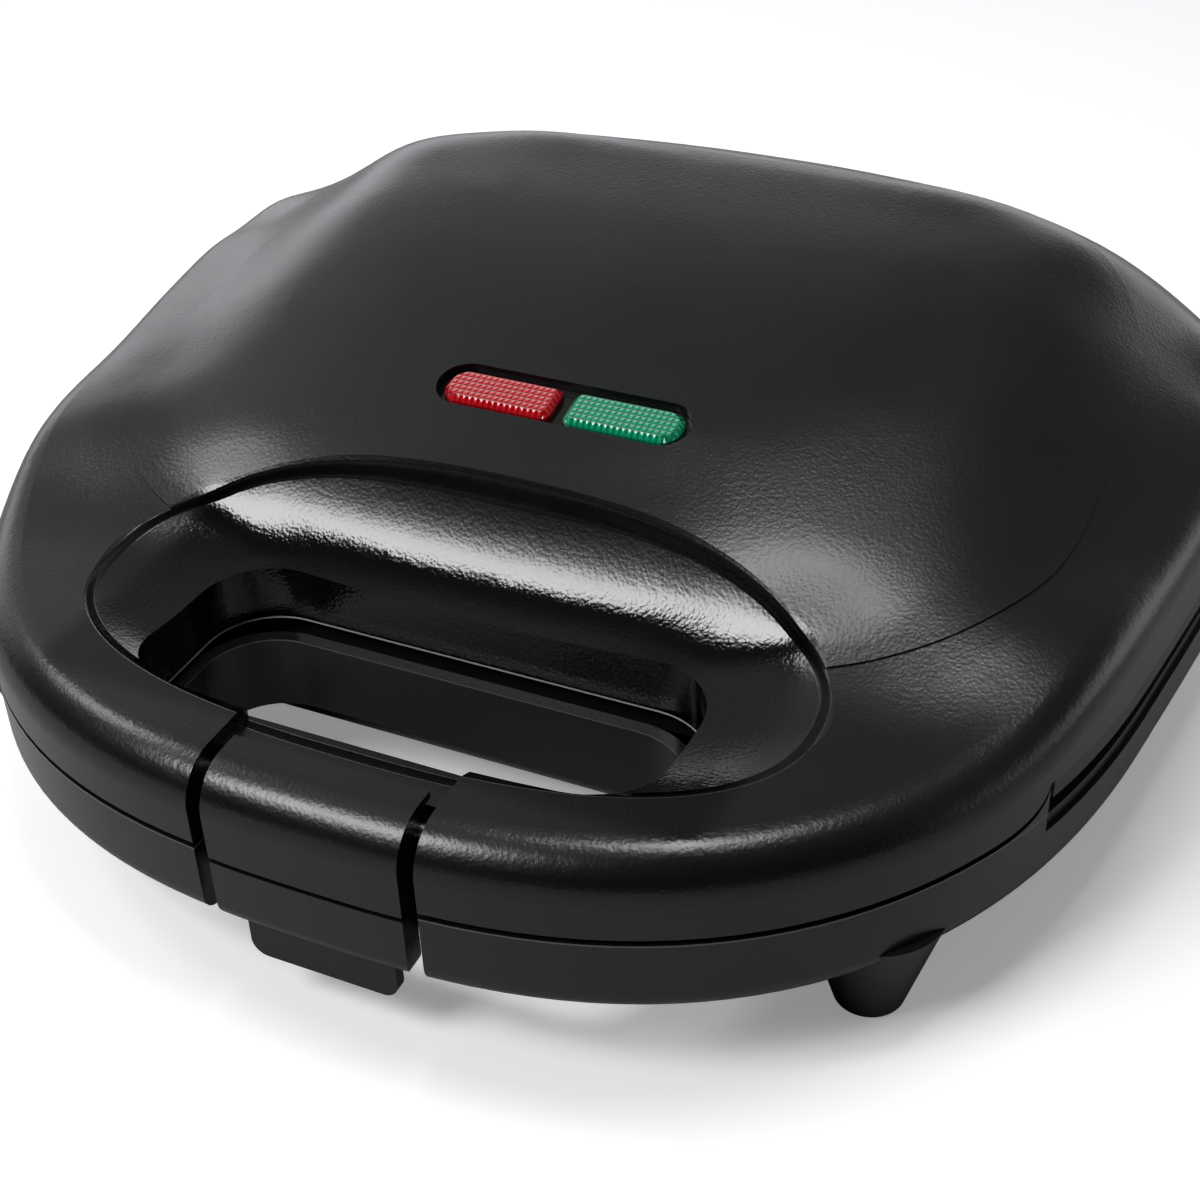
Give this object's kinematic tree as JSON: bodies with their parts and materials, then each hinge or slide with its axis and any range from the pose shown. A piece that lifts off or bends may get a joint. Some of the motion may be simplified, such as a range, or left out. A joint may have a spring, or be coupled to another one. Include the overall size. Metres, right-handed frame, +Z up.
{
  "type": "sandwich maker",
  "caption": "Electric sandwich maker with a domed hinged lid, a slot handle with a sprung latch, and cooking plates with diagonal ridges.",
  "frame": {"origin": "on the counter, under the middle of the whole machine", "axes": "+Z up, +X to the right as the user at the handle sees it, -Y from the hinge towards the handle"},
  "size_m": [0.2346, 0.2144, 0.0761],
  "materials": {
    "shell_black": "fine grained satin black",
    "band_black": "smooth satin black",
    "frame_black": "matt black",
    "nonstick": "non-stick coating, satin",
    "steel": "plain steel",
    "shield_metal": "rolled sheet",
    "foot_rubber": "matt",
    "red_clear": "clear red plastic",
    "green_clear": "clear green plastic",
    "lamp_glass": "clear glass",
    "pale_plastic": "moulded"
  },
  "bodies": {
    "base": {"base_cover": "band_black", "base_rim_frame": "frame_black", "lower_plate": "nonstick", "lower_plate_screws": "steel", "lower_heater": "steel", "lower_heater_clips": "steel", "lower_heat_shield": "shield_metal", "feet": "frame_black", "foot_pads": "foot_rubber", "hinge_pins": "steel", "cord_bush": "frame_black", "cord_clamp": "pale_plastic", "cord_clamp_screws": "steel", "terminal_block": "pale_plastic", "thermostat": "pale_plastic", "thermal_fuse": "pale_plastic"},
    "lid": {"lid_cover": "shell_black", "lid_rim_frame": "frame_black", "lamp_bezel": "frame_black", "upper_plate": "nonstick", "upper_plate_screws": "steel", "upper_heater_clips": "steel", "lamp_holder_screws": "steel", "latch_pin": "steel", "latch_spring": "steel", "upper_heater": "steel", "upper_heat_shield": "shield_metal", "red_lens": "red_clear", "green_lens": "green_clear", "red_lamp": "lamp_glass", "green_lamp": "lamp_glass", "lamp_holder": "pale_plastic"},
    "latch": {"latch_cover": "shell_black", "latch_lower_cover": "band_black", "latch_hook": "frame_black", "latch_screws": "steel"}
  },
  "joints": [
    {"name": "lid_hinge", "type": "hinge", "parent": "base", "child": "lid", "pos_m": [0, 0.103, 0.0334], "axis": [-1, 0, 0], "range_deg": [0, 105]},
    {"name": "latch_pivot", "type": "hinge", "parent": "lid", "child": "latch", "pos_m": [0, -0.0985, 0.0424], "axis": [-1, 0, 0], "range_deg": [0, 12], "stiffness_Nm_per_rad": 0.05, "springref_deg": -17.19}
  ]
}
